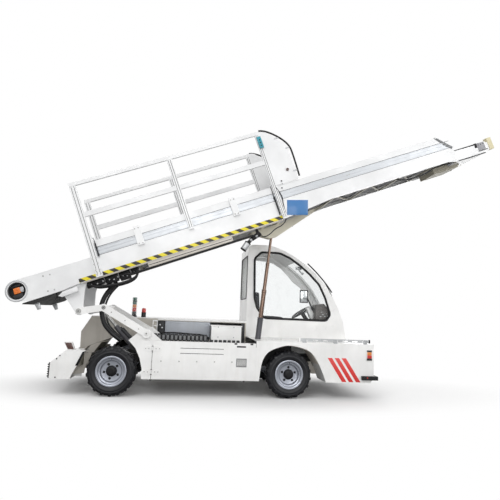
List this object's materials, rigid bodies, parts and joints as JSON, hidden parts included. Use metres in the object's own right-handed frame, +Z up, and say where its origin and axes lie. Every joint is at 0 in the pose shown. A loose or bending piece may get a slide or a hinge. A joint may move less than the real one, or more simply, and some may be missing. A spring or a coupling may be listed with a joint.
{
  "type": "baggage belt loader",
  "caption": "Self-propelled electric baggage belt loader with a half cab, a sloping belt conveyor boom, folding-style handrails and a telescopic lift cylinder.",
  "frame": {"origin": "on the ground, in the middle of the machine's length and width", "axes": "+X to the front of the machine, +Y to its left, +Z up"},
  "size_m": [7.2748, 2.0806, 4.2066],
  "materials": {
    "body_white": "satin paint",
    "boom_white": "satin paint",
    "frame_grey": "dull dark paint",
    "underside_olive": "dull paint",
    "cylinder_bronze": "satin",
    "cylinder_grey": "satin",
    "guard_alu": "mill finish",
    "tyre_black": "matte",
    "rim_silver": "metallic paint",
    "rubber_black": "matte",
    "belt_black": "matte",
    "drum_steel": "turned",
    "pane": "clear",
    "dark_trim": "grained",
    "seat_black": "woven",
    "battery_grey": "matte",
    "light_shells": "glossy",
    "pad_cream": "matte"
  },
  "bodies": {
    "chassis": {"chassis_frame": "frame_grey", "axles": "frame_grey", "front_body": "body_white", "deck": "body_white", "deck_rail": "guard_alu", "right_body": "body_white", "left_body": "body_white", "battery_lid": "body_white", "battery": "battery_grey", "hydraulic_unit": "body_white", "rear_corner": "body_white", "bumpers": "rubber_black", "arm_brackets": "body_white", "lights": "light_shells", "cab_side_walls": "body_white", "cab_hoop": "body_white", "cab_glass": "pane", "dashboard": "dark_trim", "steering_wheel": "dark_trim", "seat": "seat_black"},
    "knuckle_right": {"knuckle_right": "frame_grey"},
    "knuckle_left": {"knuckle_left": "frame_grey"},
    "side_door": {"side_door": "body_white"},
    "cab_door": {"cab_door": "body_white", "door_glass": "pane"},
    "lift_arm": {"lift_arm": "frame_grey"},
    "boom_pivot": {"boom_pivot": "drum_steel"},
    "boom": {"boom_sides": "boom_white", "boom_belly": "underside_olive", "boom_hanger": "boom_white", "belt": "belt_black", "belt_drums": "drum_steel", "side_guards": "guard_alu", "guard_caps": "boom_white", "nose_frame": "boom_white", "nose_pads": "pad_cream", "handrail_right": "boom_white", "handrail_left": "boom_white", "boom_pan": "frame_grey"},
    "front_barrel": {"front_barrel": "cylinder_grey"},
    "front_stage_1": {"front_stage_1": "cylinder_bronze"},
    "front_stage_2": {"front_stage_2": "cylinder_bronze"},
    "front_rod": {"front_rod": "cylinder_bronze"},
    "rear_barrel": {"rear_barrel": "cylinder_grey"},
    "rear_rod": {"rear_rod": "drum_steel"},
    "wheel_rear_right": {"tyre_rear_right": "tyre_black", "rim_rear_right": "rim_silver"},
    "wheel_rear_left": {"tyre_rear_left": "tyre_black", "rim_rear_left": "rim_silver"},
    "wheel_front_right": {"tyre_front_right": "tyre_black", "rim_front_right": "rim_silver"},
    "wheel_front_left": {"tyre_front_left": "tyre_black", "rim_front_left": "rim_silver"}
  },
  "joints": [
    {"name": "steer_right", "type": "hinge", "parent": "chassis", "child": "knuckle_right", "pos_m": [0.28657, -0.7, 0.335], "axis": [0, 0, 1], "range_deg": [-28, 28]},
    {"name": "steer_left", "type": "hinge", "parent": "chassis", "child": "knuckle_left", "pos_m": [0.28657, 0.7, 0.335], "axis": [0, 0, 1], "range_deg": [-28, 28]},
    {"name": "spin_rear_right", "type": "hinge", "parent": "chassis", "child": "wheel_rear_right", "pos_m": [-2.17843, -0.895, 0.335], "axis": [0, 1, 0], "continuous": true},
    {"name": "spin_rear_left", "type": "hinge", "parent": "chassis", "child": "wheel_rear_left", "pos_m": [-2.17843, 0.895, 0.335], "axis": [0, 1, 0], "continuous": true},
    {"name": "spin_front_right", "type": "hinge", "parent": "knuckle_right", "child": "wheel_front_right", "pos_m": [0.28657, -0.865, 0.335], "axis": [0, 1, 0], "continuous": true},
    {"name": "spin_front_left", "type": "hinge", "parent": "knuckle_left", "child": "wheel_front_left", "pos_m": [0.28657, 0.865, 0.335], "axis": [0, 1, 0], "continuous": true},
    {"name": "lift_arm", "type": "hinge", "parent": "chassis", "child": "lift_arm", "pos_m": [-1.74944, -0.5, 0.848], "axis": [0, 1, 0], "range_deg": [-22, 3]},
    {"name": "boom_pivot_level", "type": "hinge", "parent": "lift_arm", "child": "boom_pivot", "pos_m": [-2.67943, -0.5, 1.123], "axis": [0, 1, 0], "range_deg": [-4, 23]},
    {"name": "boom_tilt", "type": "hinge", "parent": "boom_pivot", "child": "boom", "pos_m": [-2.67943, -0.5, 1.123], "axis": [0, -1, 0], "range_deg": [-16, 3]},
    {"name": "rear_barrel_pivot", "type": "hinge", "parent": "chassis", "child": "rear_barrel", "pos_m": [-1.96843, -0.62, 0.66], "axis": [0, 1, 0], "range_deg": [-25.72, 4.37]},
    {"name": "rear_rod_slide", "type": "slide", "parent": "rear_barrel", "child": "rear_rod", "axis": [-0.677, 0, 0.736], "range_m": [-0.1107, 0.0186]},
    {"name": "front_barrel_pivot", "type": "hinge", "parent": "chassis", "child": "front_barrel", "pos_m": [-0.15343, -0.5, 0.36], "axis": [0, 1, 0], "range_deg": [-4.19, 18.01]},
    {"name": "front_stage_1_slide", "type": "slide", "parent": "front_barrel", "child": "front_stage_1", "axis": [0.0997, 0, 0.995], "range_m": [-0.3741, 0.0545]},
    {"name": "front_stage_2_slide", "type": "slide", "parent": "front_stage_1", "child": "front_stage_2", "axis": [0.0997, 0, 0.995], "range_m": [-0.3704, 0.0727]},
    {"name": "front_rod_slide", "type": "slide", "parent": "front_stage_2", "child": "front_rod", "axis": [0.0997, 0, 0.995], "range_m": [-0.3704, 0.0727]},
    {"name": "side_door_hinge", "type": "hinge", "parent": "chassis", "child": "side_door", "pos_m": [-1.64644, -1.008, 0.5], "axis": [0, 0, -1], "range_deg": [0, 100]},
    {"name": "cab_door_hinge", "type": "hinge", "parent": "chassis", "child": "cab_door", "pos_m": [-0.08044, 0.997, 1.5], "axis": [0, 0, 1], "range_deg": [0, 80]}
  ],
  "couplings": [
    {"joint": "steer_left", "follows": "steer_right", "ratio": 1},
    {"joint": "boom_pivot_level", "follows": "lift_arm", "ratio": -1},
    {"joint": "rear_barrel_pivot", "follows": "lift_arm", "ratio": 1.1236},
    {"joint": "rear_rod_slide", "follows": "lift_arm", "m_per_rad": 0.27801},
    {"joint": "front_stage_1_slide", "follows": "lift_arm", "m_per_rad": 0.96385},
    {"joint": "front_barrel_pivot", "follows": "boom_tilt", "ratio": -1.0634},
    {"joint": "front_stage_2_slide", "follows": "boom_tilt", "m_per_rad": 1.3121},
    {"joint": "front_rod_slide", "follows": "boom_tilt", "m_per_rad": 1.3121}
  ]
}
